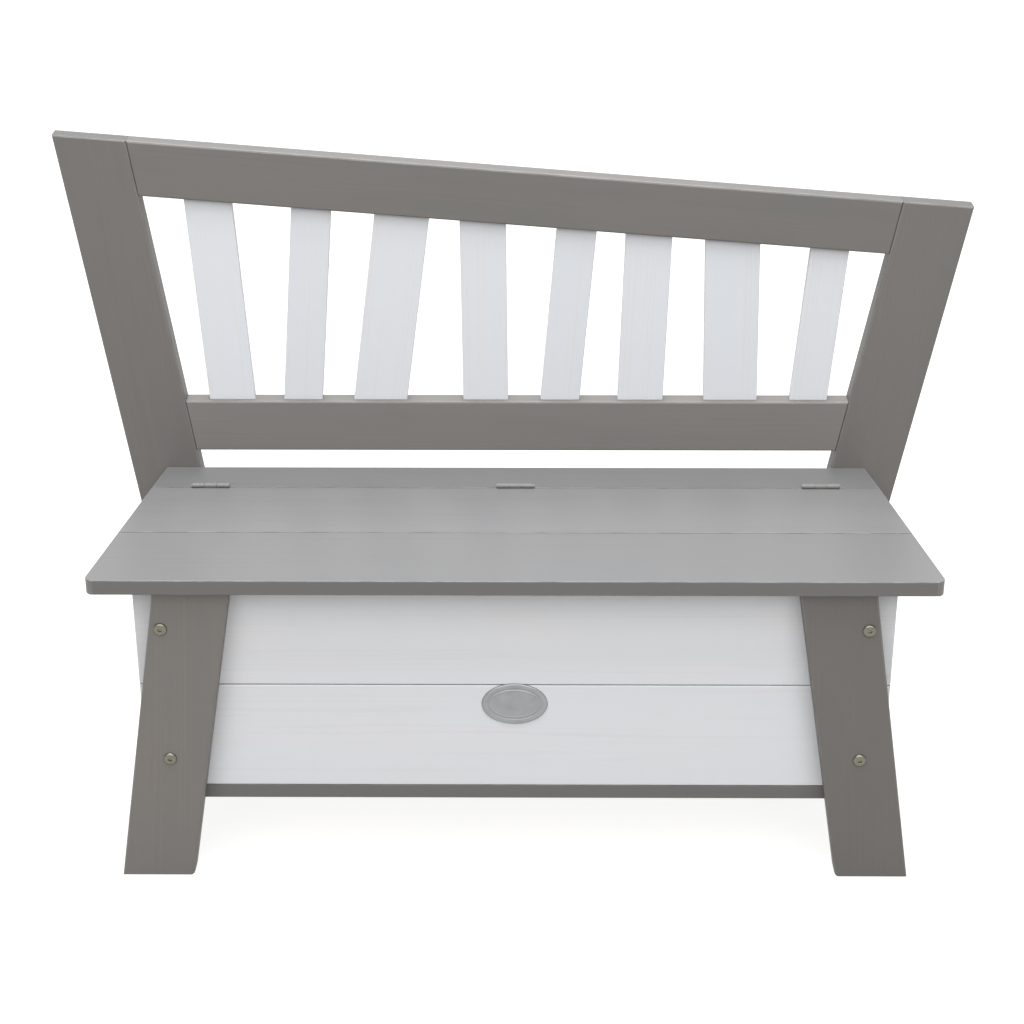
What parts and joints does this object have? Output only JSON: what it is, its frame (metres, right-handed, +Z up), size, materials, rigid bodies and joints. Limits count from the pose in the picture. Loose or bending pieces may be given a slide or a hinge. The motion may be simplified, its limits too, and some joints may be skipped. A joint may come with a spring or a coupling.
{
  "type": "toy storage bench",
  "caption": "Child's bench with a lidded storage box on splayed front legs and a crooked slatted back; the seat is a lid on butt hinges.",
  "frame": {"origin": "on the floor, under the middle of the whole bench's bounding box", "axes": "+Z up, +Y to the back, +X to the right of someone who stands in front and looks at the bench"},
  "size_m": [0.97, 0.3078, 0.738],
  "materials": {
    "grey_paint": "thin grey paint on pine, faint grain, eased edges",
    "white_wash": "thin white paint on pine, faint grain",
    "bare_pine": "planed, unpainted",
    "zinc_steel": "zinc plated",
    "badge_metal": "plain satin grey metal, no lettering"
  },
  "bodies": {
    "bench": {"front_leg_left": "grey_paint", "front_leg_right": "grey_paint", "rear_post_left": "grey_paint", "rear_post_right": "grey_paint", "top_rail": "grey_paint", "lower_rail": "grey_paint", "slat_1": "white_wash", "slat_2": "white_wash", "slat_3": "white_wash", "slat_4": "white_wash", "slat_5": "white_wash", "slat_6": "white_wash", "slat_7": "white_wash", "slat_8": "white_wash", "front_upper_plank": "white_wash", "front_lower_plank": "white_wash", "rear_upper_plank": "white_wash", "rear_lower_plank": "white_wash", "left_upper_plank": "white_wash", "left_lower_plank": "white_wash", "right_upper_plank": "white_wash", "right_lower_plank": "white_wash", "bottom_front_plank": "grey_paint", "bottom_rear_plank": "grey_paint", "corner_batten_front_left": "bare_pine", "corner_batten_front_right": "bare_pine", "corner_batten_rear_left": "bare_pine", "corner_batten_rear_right": "bare_pine", "strip_ledge": "bare_pine", "seat_rear_strip": "grey_paint", "hinge_leaves_fixed": "zinc_steel", "hinge_pins": "zinc_steel", "hinge_screws_fixed": "zinc_steel", "leg_bolts": "zinc_steel", "post_bolts": "zinc_steel", "threaded_inserts": "zinc_steel", "panel_screws": "zinc_steel", "batten_screws": "zinc_steel", "bottom_screws": "zinc_steel", "ledge_screws": "zinc_steel", "rail_dowels": "bare_pine", "badge": "badge_metal"},
    "lid": {"lid_front_plank": "grey_paint", "lid_rear_plank": "grey_paint", "lid_batten_left": "bare_pine", "lid_batten_middle": "bare_pine", "lid_batten_right": "bare_pine", "hinge_leaves_lid": "zinc_steel", "hinge_screws_lid": "zinc_steel", "lid_batten_screws": "zinc_steel"}
  },
  "joints": [
    {"name": "lid_hinge", "type": "hinge", "parent": "bench", "child": "lid", "pos_m": [0, 0.0734, 0.36242], "axis": [-1, 0, 0], "range_deg": [0, 103]}
  ]
}
